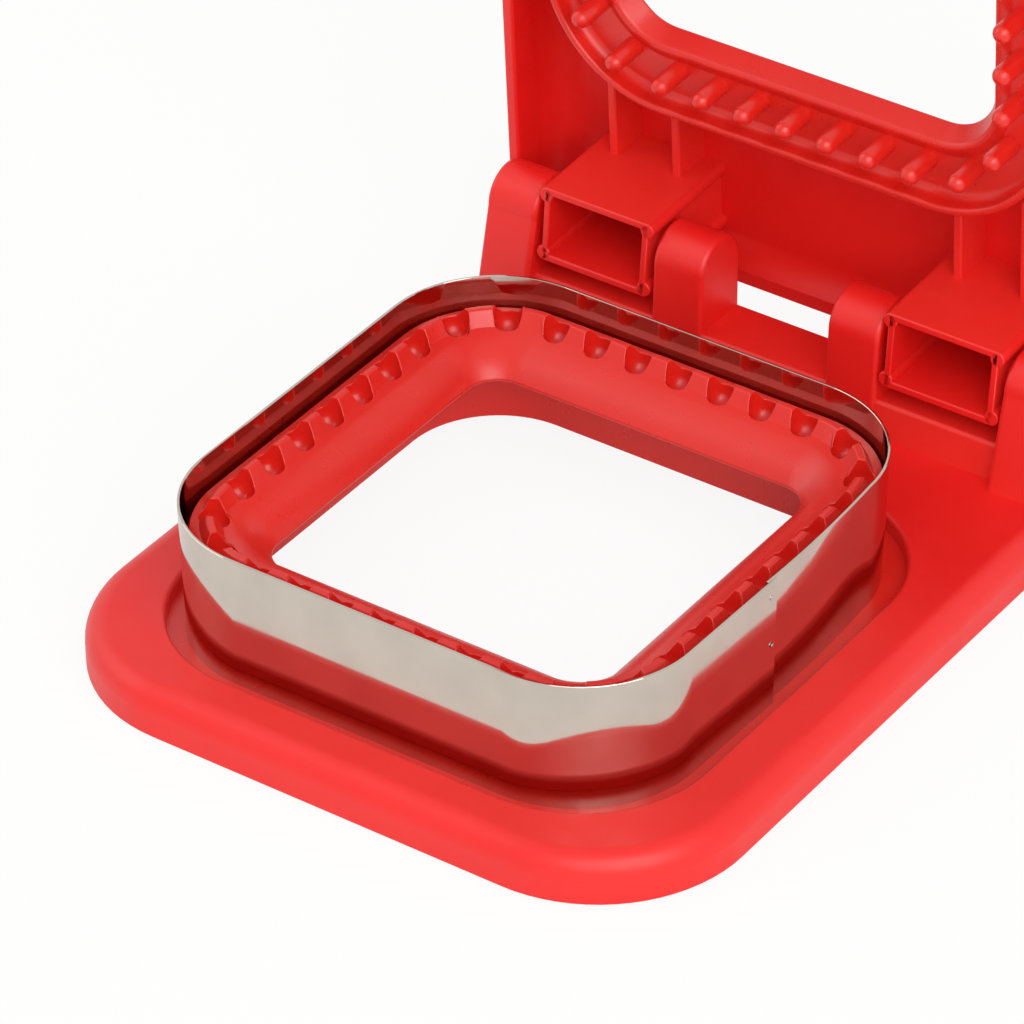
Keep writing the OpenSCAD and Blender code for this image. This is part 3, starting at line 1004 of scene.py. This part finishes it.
@dataclass
class BladeStrip(Piece):
    """Stainless strip bent to a rounded square, its ends lapped and spot-welded on the right."""

    thickness: float = 0.45
    foot: float = 4.9
    top: float = 29.3
    lap_start: float = 4.5
    lap_end: float = 2.8
    lap_gap: float = 0.02
    lap_face: float = 0.3
    lap_near: float = 0.1
    chamfer: float = 0.08
    bow_radius: float = 241.0
    bow_out: float = 0.12
    bow_y: float = 5.75
    bow_steps: int = 12
    lean: float = 0.45
    side_lean: float = 0.35
    side_lean_start: float = -5.0
    corner_cone: float = 0.09
    corner_margin: float = 1.5
    weld_radius: float = 0.42
    weld_root: float = 0.1
    weld_rise: float = 0.05
    weld_soft: float = 0.04
    weld_places: tuple[Place, ...] = ((-4.2, 26.5), (-3.7, 17.2))

    def bow(self, y: float) -> float:
        """Outward drift of the right side, which bends gently on its way to the rear corner."""
        return self.bow_out - (y - self.bow_y) ** 2 / (2 * self.bow_radius)

    def on_foot(self, edge: Edge) -> bool:
        """Says whether an edge lies along the foot."""
        return level(edge, self.foot)

    def on_free_end(self, vertex: bmesh.types.BMVert) -> bool:
        """Says whether a point lies on the free end of the lap."""
        outside = vertex.co.x > self.plan.blade_half - self.lap_face
        return outside and abs(vertex.co.y + self.lap_end) < self.lap_near

    def draw_in(self, strip: Obj) -> None:
        """Draws the foot of the strip in, so that it leans out a little to its edge.

        The right side leans most from the lap to the rear, and the bend at the front corner is
        wider at its foot.

        Args:
            strip: The strip with upright sides.
        """
        half, limit = self.plan.blade_half, self.plan.straight - self.corner_margin

        def on_side(vertex: bmesh.types.BMVert) -> bool:
            """Says whether a point lies on the right side, from the lap to the rear."""
            behind = vertex.co.y > self.side_lean_start and not self.on_free_end(vertex)
            return vertex.co.x > limit and behind

        scale_edges(strip, 1 - self.lean / half, (0, 0, self.foot), self.on_foot)
        shift_edges(
            strip, (-self.side_lean, 0, 0),
            lambda e: self.on_foot(e) and all(on_side(v) for v in e.verts),
        )
        scale_edges(
            strip, 1 + self.corner_cone, (half, -half, self.foot),
            lambda e: self.on_foot(e) and all(v.co.x > limit and v.co.y < -limit for v in e.verts),
        )

    def welds(self) -> list[Obj]:
        """Models the spot welds of the lap.

        Returns:
            The mesh objects.
        """
        face = self.plan.blade_half + self.thickness + self.bow(-self.lap_end)
        made = []
        for y, z in self.weld_places:
            root, tip = (face - self.weld_root, y, z), (face + self.weld_rise, y, z)
            weld = bar(self.weld_radius, root, tip, sides=20)
            round_edges(
                weld, self.weld_soft, steps=2,
                test=lambda e: crease(e, SQUARE) and min(v.co.x for v in e.verts) > face,
            )
            made.append(weld)
        return made

    def model(self) -> Obj:
        """Models the blade.

        Returns:
            The mesh object.
        """
        t, shoulder = self.thickness, self.top - self.chamfer
        section = [
            (0, self.foot), (0, shoulder), (-self.chamfer, self.top), (self.chamfer - t, self.top),
            (-t, shoulder), (-t, self.foot),
        ]
        half, straight = self.plan.blade_half, self.plan.straight
        strip = strip_start(section, half + self.bow(-self.lap_start), -self.lap_start)
        bpy.ops.mesh.edge_face_add()
        bpy.ops.mesh.select_mode(type="EDGE")
        step = (straight + self.lap_start) / self.bow_steps
        for i in range(self.bow_steps):
            y = i * step - self.lap_start
            extrude((self.bow(y + step) - self.bow(y), step, 0))
        drift = self.bow(straight)
        strip_turn(straight + drift, straight)
        extrude((-2 * straight - drift, 0, 0))
        strip_turn(-straight, straight)
        extrude((0, -2 * straight, 0))
        strip_turn(-straight, -straight)
        extrude((2 * straight, 0, 0))
        strip_turn(straight, -straight)
        # The last run leans out until it lies on the start of the strip
        extrude((t + self.bow(-self.lap_end) + self.lap_gap, straight - self.lap_end, 0))
        bpy.ops.mesh.edge_face_add()
        done()
        outwards(strip)
        self.draw_in(strip)
        join(strip, self.welds())
        return strip


@dataclass
class CrimpRing(Piece):
    """Ring inside the blade: a toothed ridge, a curved lip, and a flange that floors the well."""

    half: float = 43.6
    top: float = 24.2
    wall: float = 1.4
    land_width: float = 1.5
    land_rise: float = 0.4
    top_inset: float = 2.6
    crest_inset: float = 3.75
    crest_height: float = 2.2
    foot_inset: float = 5.25
    foot_drop: float = 0.3
    slope_start: float = 15.0
    slope_end: float = 54.9
    lip_radius: float = 12.9
    lip_end: float = 0.5
    lip_root: float = 8.53
    under: float = 20.1
    flange_top: float = 5.65
    flange_under: float = 3.95
    flange_half: float = 54.6
    shoulder: float = 0.4
    shoulder_drop: float = 0.9
    shoulder_soft: float = 0.3
    shoulder_root: float = 5.0
    land_soft: float = 0.2
    pocket_radius: float = 2.35
    pocket_inset: float = 0.3
    pocket_bottom: float = 21.4
    pocket_flat: float = 0.05
    pocket_rise: float = 6.0
    soft: float = 0.3
    rim_angle: float = 25.0
    rim_near: float = 0.06
    rim_depth: float = 0.8
    rim_merge: float = 0.13

    def section(self) -> Section:
        """Outline of the ring across its width.

        Returns:
            Outward distance and height of each corner.
        """
        start, end = 90 + self.slope_start, 90 + self.slope_end
        foot = self.top - self.foot_drop
        mid_x = -self.foot_inset - self.lip_radius * math.cos(math.radians(start))
        mid_z = foot - self.lip_radius * math.sin(math.radians(start))
        core = self.lip_radius - self.lip_end
        end_x = mid_x + core * math.cos(math.radians(end))
        end_z = mid_z + core * math.sin(math.radians(end))
        last = touch_angle(end_x, end_z, self.lip_end, (-self.lip_root, self.under), -1)
        reach, crest = self.flange_half - self.half, self.top + self.crest_height
        lip = arc(mid_x, mid_z, self.lip_radius, start, end, steps=12)
        points = rounded(
            [
                (0, self.flange_top, 0),
                (0, self.top - self.shoulder_root, 0),
                (self.shoulder, self.top - self.shoulder_drop, self.shoulder_soft),
                (0, self.top, self.land_soft),
                (-self.land_width, self.top + self.land_rise, 0),
                (-self.top_inset, crest, 0),
                (-self.crest_inset, crest, 0),
                (-self.foot_inset, foot, 0),
            ],
            steps=2,
        )
        # The lip's first point is the ridge's foot. Its second is left out, so that no seam runs
        # close beside a pocket's rim.
        points += lip[2:]
        points += arc(end_x, end_z, self.lip_end, end, last % 360, steps=8)[1:]
        points += [(-self.lip_root, self.under), (-self.wall, self.under)]
        points += [(-self.wall, self.flange_under), (reach, self.flange_under)]
        points += [(reach, self.flange_top)]
        return points

    def model(self) -> Obj:
        """Models the crimp ring.

        Returns:
            The mesh object.
        """
        count = self.plan.pockets_per_side - 1
        teeth = [(i - (count - 1) / 2) * self.plan.pitch() for i in range(count)]
        ring = swept_ring(self.section(), self.half, self.plan.straight, teeth)
        low = self.pocket_bottom
        cutter = post(self.pocket_radius, (low, self.top + self.pocket_rise), sides=32)
        tip = self.pocket_radius - self.pocket_flat
        round_edges(cutter, tip, steps=9, test=lambda e: level(e, low))
        places = self.plan.pocket_sites(self.pocket_inset)
        first, *others = repeat(cutter, places)
        join(first, others)
        cut(ring, first)
        self.soften(ring, places)
        return ring

    def soften(self, ring: Obj, places: Sequence[Place]) -> None:
        """Rounds the rim of every pocket and the crest of every tooth.

        Args:
            ring: The ring with its pockets cut.
            places: The X and Y of each pocket.
        """
        crest, low = self.top + self.crest_height, self.top - self.rim_depth

        def on_wall(vertex: bmesh.types.BMVert, place: Place) -> bool:
            """Says whether a point lies on the wall of the pocket at a place."""
            away = math.hypot(vertex.co.x - place[0], vertex.co.y - place[1])
            return abs(away - self.pocket_radius) < self.rim_near

        def on_rim(edge: Edge) -> bool:
            """Says whether an edge lies on a pocket's rim."""
            high = crease(edge, self.rim_angle) and min(v.co.z for v in edge.verts) >= low
            return high and all(any(on_wall(v, place) for place in places) for v in edge.verts)

        # Short pieces of a rim are merged first, so that its round runs evenly
        edit(ring, Pick.EDGE, on_rim)
        bpy.ops.mesh.remove_doubles(threshold=self.rim_merge)
        done()
        round_edges(
            ring, self.soft, steps=4,
            test=lambda e: on_rim(e) or (crease(e, SHARP) and level(e, crest)),
        )


@dataclass
class PressRing(Piece):
    """Ring on the lid: a thin rim, a row of studs and a flared wall round the window."""

    half: float = 47.6
    rim_wall: float = 1.4
    rim_low: float = 27.0
    rim_round: float = 0.6
    floor: float = 30.4
    back: float = 33.6
    width: float = 13.4
    flare: float = 2.6
    bead_radius: float = 1.0
    bead_height: float = 0.8
    bead_slope: float = 1.7
    slope_blend: float = 0.3
    slope_start: Place = (-0.1, -0.03)
    edge_round: float = 0.4
    edge_inset: float = 0.5
    edge_angle: float = 205.0
    cove: float = 1.6
    stud_radius: float = 1.65
    stud_length: float = 7.0
    stud_root: float = 0.8
    stud_flat: float = 0.04

    def section(self) -> Section:
        """Outline of the ring across its width.

        Returns:
            Outward distance and height of each corner.
        """
        bead_x = self.flare - self.width
        bead_z = self.floor - self.bead_height + self.bead_radius
        foot, edge = bead_x + self.bead_slope, (-self.width, self.back)
        first = touch_angle(bead_x, bead_z, self.bead_radius, (foot, self.floor), -1)
        last = touch_angle(bead_x, bead_z, self.bead_radius, edge, 1)
        while last > first:
            last -= 360
        turn, rim_z = self.rim_round, self.rim_low + self.rim_round
        cove_x, cove_z = -self.rim_wall - self.cove, self.floor - self.cove
        edge_x, edge_z = -self.width + self.edge_inset, self.back - self.edge_round
        points: Section = [(0, self.back)]
        points += arc(-turn, rim_z, turn, 0, -90, steps=5)
        points += arc(turn - self.rim_wall, rim_z, turn, -90, -180, steps=5)
        points += arc(cove_x, cove_z, self.cove, 0, 90, steps=8)
        points += [(foot + self.slope_blend, self.floor)]
        points += [(foot + self.slope_start[0], self.floor + self.slope_start[1])]
        points += arc(bead_x, bead_z, self.bead_radius, first, last, steps=8)
        points += arc(edge_x, edge_z, self.edge_round, self.edge_angle, 90, steps=4)
        return points

    def stud(self) -> Obj:
        """Models one stud over the origin.

        Returns:
            The mesh object.
        """
        tip = self.floor - self.stud_length
        stud = post(self.stud_radius, (tip, self.floor + self.stud_root), sides=28)
        round_edges(
            stud, self.stud_radius - self.stud_flat, steps=10, test=lambda e: level(e, tip)
        )
        return stud

    def model(self) -> Obj:
        """Models the press ring.

        Returns:
            The mesh object.
        """
        ring = swept_ring(self.section(), self.half, self.plan.straight)
        join(ring, repeat(self.stud(), self.plan.pocket_sites()))
        return ring


@dataclass
class LidShell(Piece):
    """Moulded lid: a round-edged shell with a window, a collar, ribs and two hollow knuckles."""

    half: float = 57.2
    front: float = 60.3
    rear: float = 85.6
    front_turn: float = 26.0
    rear_turn: float = 9.0
    rim: float = 28.65
    rim_round: float = 0.6
    top: float = 43.25
    under: float = 41.05
    wall: float = 2.2
    edge: float = 8.7
    tail_cut: float = 7.4
    tail_lip: float = 5.2
    ledge_z: float = 33.65
    ledge: float = 2.0
    ledge_width: float = 5.0
    ledge_round: float = 0.4
    collar_half: float = 46.15
    collar_wall: float = 2.0
    collar_fillet: float = 0.6
    root: float = 0.4
    knuckle_in: float = 22.0
    knuckle_out: float = 44.4
    knuckle_front: float = 64.2
    knuckle_back: float = 77.3
    knuckle_low: float = 19.6
    knuckle_slant: float = 2.1
    knuckle_wall: float = 1.2
    hollow_gap: float = 0.5
    knuckle_soft: float = 0.5
    mouth_soft: float = 0.28
    bead: float = 1.3
    rib: float = 1.6
    rib_inset: float = 5.0
    rib_soft: float = 0.4
    trunnion: float = 2.4
    trunnion_reach: float = 2.6
    trunnion_soft: float = 0.3
    wedge_x: Place = (10.0, 60.0)
    wedge_past: float = 6.0
    wedge_depth: float = 12.0

    def shell(self) -> Obj:
        """Models the shell with its hollow, its rear lip and its window.

        Returns:
            The mesh object.
        """
        reach, turns = (self.front, self.rear), (self.front_turn, self.rear_turn)
        shell = plan_block(self.half, reach, turns, (self.rim, self.top))
        round_edges(shell, self.edge, steps=12, test=lambda e: level(e, self.top))
        hollow_out(shell, self.wall, self.under - self.rim)
        round_edges(shell, self.edge - self.wall, steps=12, test=lambda e: level(e, self.under))
        round_edges(
            shell, self.rim_round, steps=4, test=lambda e: level(e, self.rim) and crease(e, SHARP)
        )
        notch = block(
            (-self.half - PAST, self.rear - self.tail_cut, self.rim - PAST),
            (self.half + PAST, self.rear + PAST, self.top - self.tail_lip),
        )
        cut(shell, notch)
        opening = self.collar_half - self.collar_wall
        cut_opening(shell, opening, self.plan.straight, (self.under - PAST, self.top))
        return shell

    def collar(self) -> Obj:
        """Models the collar and the ledge that the press ring is screwed to.

        Returns:
            The mesh object.
        """
        inner = -self.collar_wall - self.ledge_width
        step = self.ledge_z + self.ledge
        turn, small = self.collar_fillet, self.ledge_round
        section: Section = [(0, self.ledge_z), (0, self.under), (-self.collar_wall, self.under)]
        section += arc(-self.collar_wall - turn, step + turn, turn, 0, -90, steps=4)
        section += arc(inner + small, step - small, small, 90, 180, steps=3)
        section += [(inner, self.ledge_z)]
        return swept_ring(section, self.collar_half, self.plan.straight)

    def knuckle(self) -> Obj:
        """Models the right knuckle: a hollow box with a bead along each corner, and its trunnions.

        Returns:
            The mesh object.
        """
        side_in = self.knuckle_in + self.bead - self.knuckle_wall / 4
        side_out = self.knuckle_out - self.bead + self.knuckle_wall / 4
        start, end = self.knuckle_low - PAST, self.under + self.root
        low, high = (side_in, self.knuckle_front, start), (side_out, self.knuckle_back, end)
        box = block(low, high)
        hollow_out(box, self.knuckle_wall, self.under - start)
        round_edges(
            box, self.knuckle_soft, steps=3,
            test=lambda e: upright(e) and crease(e, SHARP) and self.inside_box(e),
        )
        parts = [box]
        for x in (self.knuckle_in + self.bead, self.knuckle_out - self.bead):
            for y in (self.knuckle_front + self.bead, self.knuckle_back - self.bead):
                parts.append(bar(self.bead, (x, y, start), (x, y, end), sides=24))
        for part in parts:
            cut(part, self.slant())
            round_edges(part, self.mouth_soft, steps=3, test=self.on_mouth)
        hinge = (self.plan.hinge_y, self.plan.hinge_z)
        for first, last in (
            (self.plan.inner_ear_side - self.trunnion_reach, side_in + self.knuckle_wall / 2),
            (side_out - self.knuckle_wall / 2, self.plan.outer_ear_side + self.trunnion_reach),
        ):
            pin = bar(self.trunnion, (first, *hinge), (last, *hinge), sides=32)
            round_edges(pin, self.trunnion_soft, steps=2, test=lambda e: crease(e, SQUARE))
            parts.append(pin)
        join(box, parts[1:])
        return box

    def inside_box(self, edge: Edge) -> bool:
        """Says whether an edge lies in the knuckle's hollow."""
        low, high = self.knuckle_front + self.hollow_gap, self.knuckle_back - self.hollow_gap
        return all(low < v.co.y < high for v in edge.verts)

    def fall(self) -> float:
        """Drop of the knuckle's mouth for each millimetre to the rear."""
        return self.knuckle_slant / (self.knuckle_back - self.knuckle_front)

    def on_mouth(self, edge: Edge) -> bool:
        """Says whether an edge lies on the knuckle's slanted mouth."""
        drops = [(v.co.y - self.knuckle_front) * self.fall() + v.co.z for v in edge.verts]
        return crease(edge, SHARP) and all(abs(d - self.knuckle_low) < NEAR for d in drops)

    def slant(self) -> Obj:
        """Models the wedge that trims a knuckle's mouth.

        Returns:
            The mesh object.
        """
        past, top, fall = self.wedge_past, self.knuckle_low, self.fall()
        low, high = self.knuckle_front - past, self.knuckle_back + past
        (left, right), depth = self.wedge_x, self.knuckle_back - self.knuckle_front
        wedge = block((left, low, top - self.wedge_depth), (right, high, top))
        for y, rise in ((low, past * fall), (high, -(depth + past) * fall)):
            shift_edges(
                wedge, (0, 0, rise),
                lambda e: along(e, 0) and level(e, top) and abs(e.verts[0].co.y - y) < NEAR,
            )
        return wedge

    def ribs(self) -> list[Obj]:
        """Models the two ribs of the right knuckle.

        Returns:
            The mesh objects.
        """
        front = self.collar_half - self.collar_wall / 2
        rear = self.knuckle_front + self.knuckle_wall / 2
        made = []
        for x in (self.knuckle_in + self.rib_inset, self.knuckle_out - self.rib_inset):
            low = (x - self.rib / 2, front, self.ledge_z)
            rib = block(low, (x + self.rib / 2, rear, self.under + self.root))
            round_edges(
                rib, self.rib_soft, steps=3, test=lambda e: along(e, 1) and level(e, self.ledge_z)
            )
            made.append(rib)
        return made

    def model(self) -> Obj:
        """Models the lid.

        Returns:
            The mesh object.
        """
        lid = self.shell()
        parts = [self.collar()]
        for part in [self.knuckle(), *self.ribs()]:
            parts += [part, mirrored(part)]
        join(lid, parts)
        return lid


@dataclass
class ScrewSet(Piece):
    """Eight cross-headed screws, two to a side."""

    head_radius: float = 3.4
    head_height: float = 1.2
    head_soft: float = 0.45
    length: float = 3.1
    shank: float = 1.2
    shank_soft: float = 0.3
    seat: float = 3.9
    path: float = 51.2
    spread: float = 18.0
    downward: bool = True
    recess: float = 0.6
    recess_depth: float = 0.5

    def screw(self) -> Obj:
        """Models one screw over the origin, its head seated at its height.

        Returns:
            The mesh object.
        """
        way = 1 if self.downward else -1
        outer = self.seat - way * self.head_height
        head = post(self.head_radius, (outer, self.seat), sides=36)
        round_edges(
            head, self.head_height * self.head_soft, steps=4, test=lambda e: level(e, outer)
        )
        reach, half = self.head_radius / 2, self.recess / 2
        low, high = sorted((outer - way, outer + way * self.head_height * self.recess_depth))
        for x, y in ((reach, half), (half, reach)):
            cut(head, block((-x, -y, low), (x, y, high)))
        end = self.seat + way * self.length
        shank = post(self.shank, (self.seat, end), sides=24)
        round_edges(shank, self.shank_soft, steps=2, test=lambda e: level(e, end))
        join(head, [shank])
        return head

    def model(self) -> Obj:
        """Models the set.

        Returns:
            The mesh object.
        """
        places = turned([(-self.spread, -self.path), (self.spread, -self.path)])
        *others, screws = repeat(self.screw(), places)
        join(screws, others)
        return screws


# Studio


@dataclass(frozen=True)
class Lamp:
    """A square soft lamp, in metres and watts."""

    name: str
    place: Point
    power: float
    aim: Point = (0, 0, 0.05)
    size: float = 1.2

    def hang(self) -> None:
        """Adds the lamp to the scene."""
        data = bpy.data.lights.new(self.name, "AREA")
        data.shape, data.size, data.energy = "SQUARE", self.size, self.power
        lamp = bpy.data.objects.new(self.name, data)
        lamp.location = self.place
        way = Vector(self.aim) - Vector(self.place)
        lamp.rotation_euler = way.to_track_quat("-Z", "Y").to_euler()
        bpy.context.scene.collection.objects.link(lamp)


@dataclass
class Studio:
    """Pale floor, soft light and the camera of the photograph."""

    shift_y: float
    azimuth: float = 35.063
    elevation: float = 35.4219
    roll: float = -0.592
    aim_x: float = -3.9912
    aim_y: float = 17.7093
    distance: float = 1008.6652
    focal_px: float = 6433.8552
    frame_px: float = 1024.0
    clip: Place = (0.05, 50)
    floor_size: float = 12
    floor_drop: float = 0.0002
    floor_colour: str = "#F7F6F4"
    floor_white: float = 0.9
    floor_mirror: float = 0.2
    sky_light: float = 0.6
    sky_mirror: float = 0.85
    lamps: tuple[Lamp, ...] = (
        Lamp("key_right", (1.1, -0.6, 0.9), 9.3),
        Lamp("fill_left", (-1.2, -0.4, 0.9), 4.5),
        Lamp("fill_camera", (0.75, -1.05, 0.95), 6.5),
    )

    def camera(self) -> None:
        """Places the camera where the photograph was taken from."""
        a, e, r = (math.radians(v) for v in (self.azimuth, self.elevation, self.roll))
        back = Vector((math.sin(a) * math.cos(e), -math.cos(a) * math.cos(e), math.sin(e)))
        right = Vector((math.cos(a), math.sin(a), 0))
        up = back.cross(right)
        place = back * self.distance + right * self.aim_x + up * self.aim_y
        place -= Vector((0, self.shift_y, 0))
        level_x = right * math.cos(r) + up * math.sin(r)
        level_y = up * math.cos(r) - right * math.sin(r)
        data = bpy.data.cameras.new("photo_camera")
        data.sensor_width = SENSOR_MM
        data.lens = self.focal_px / self.frame_px * SENSOR_MM
        data.clip_start, data.clip_end = self.clip
        camera = bpy.data.objects.new("photo_camera", data)
        turn = Matrix((level_x, level_y, back)).transposed().to_4x4()
        camera.matrix_world = Matrix.Translation(place * METRES) @ turn
        bpy.context.scene.collection.objects.link(camera)
        bpy.context.scene.camera = camera

    def seen(self, tree: Tree) -> Socket:
        """Share of plain white in the floor: most to the camera, less to mirrors, none as light.

        Args:
            tree: The floor's node tree.

        Returns:
            The share's socket.
        """
        path = node(tree, "ShaderNodeLightPath").outputs
        mirror = maths(tree, "MAXIMUM", path["Is Glossy Ray"], path["Is Transmission Ray"])
        part = maths(tree, "MULTIPLY", mirror, self.floor_mirror)
        return maths(tree, "MULTIPLY_ADD", path["Is Camera Ray"], self.floor_white, part)

    def floor(self) -> None:
        """Adds a pale floor that keeps a faint shadow and fades into the white backdrop."""
        bench_clear()
        bpy.ops.mesh.primitive_plane_add(size=self.floor_size, location=(0, 0, -self.floor_drop))
        floor = bpy.context.object
        floor.name = "studio_floor"
        made, tree = new_material("white paper sweep")
        matt = node(tree, "ShaderNodeBsdfDiffuse", Color=linear(self.floor_colour)).outputs["BSDF"]
        white = node(tree, "ShaderNodeEmission", Color=WHITE, Strength=1.0).outputs["Emission"]
        surface = node(tree, "ShaderNodeMixShader", in0=self.seen(tree), in1=matt, in2=white)
        node(tree, "ShaderNodeOutputMaterial", Surface=surface.outputs["Shader"])
        floor.data.materials.append(made)

    def world(self) -> None:
        """Surrounds the part with an even soft light, a little brighter in mirrors."""
        sky = bpy.data.worlds.new("white_studio")
        sky.use_nodes = True
        tree = sky.node_tree
        tree.nodes.clear()
        glossy = node(tree, "ShaderNodeLightPath").outputs["Is Glossy Ray"]
        more = self.sky_mirror - self.sky_light
        strength = maths(tree, "MULTIPLY_ADD", glossy, more, self.sky_light)
        back = node(tree, "ShaderNodeBackground", Color=WHITE, Strength=strength)
        node(tree, "ShaderNodeOutputWorld", Surface=back.outputs["Background"])
        bpy.context.scene.world = sky

    def build(self) -> None:
        """Sets up the floor, the light and the camera."""
        bpy.context.scene.view_settings.view_transform = "Standard"
        self.floor()
        self.world()
        for lamp in self.lamps:
            lamp.hang()
        self.camera()


def main() -> None:
    """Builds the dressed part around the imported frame."""
    logging.basicConfig(level=logging.INFO, format="%(name)s: %(message)s")
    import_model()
    low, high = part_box("blade_ring")
    shift = -(low.y + high.y) / 2 / METRES
    plan = Plan()
    # Each plastic's paler edge colour is partly rubbed wear and partly a painted highlight
    shell = MouldedPlastic(
        "satin moulded ABS red", "#EC1E1A", "#E61A16", roughness=0.42, edge_wear_and_highlight="#F2483A",
        grain_mm=0.45, grain_height_mm=0.03,
    ).make()
    ring = MouldedPlastic(
        "polished moulded ABS red", "#E0241A", "#DA2017", roughness=0.3, edge_wear_and_highlight="#EC4A3A",
        grain_mm=0.6, grain_height_mm=0.015,
    ).make()
    steel = RolledSteel(
        "cold-rolled stainless strip", "#CCC4B9", "#C3BBB0", roughness=0.055, line_mm=0.3
    ).make()
    zinc = PlatedSteel("zinc-plated screw steel", "#B9BABD", "#8F9195", roughness=0.34).make()
    BaseTray(plan, shift, "base_tray", Body.BASE, "red_shell").build(shell)
    BladeStrip(plan, shift, "blade_ring", Body.BASE, "blade_steel").build(steel)
    CrimpRing(plan, shift, "crimp_ring", Body.BASE, "red_ring").build(ring)
    ScrewSet(plan, shift, "crimp_screws", Body.BASE, "screw_steel").build(zinc)
    LidShell(plan, shift, "lid_shell", Body.LID, "red_shell").build(shell)
    PressRing(plan, shift, "press_ring", Body.LID, "red_ring").build(ring)
    ScrewSet(
        plan, shift, "press_screws", Body.LID, "screw_steel", head_radius=2.1, head_height=1.5,
        length=4.2, seat=35.7, path=41.65, spread=19.5, downward=False,
    ).build(zinc)
    Studio(shift).build()


if __name__ == "__main__":
    main()
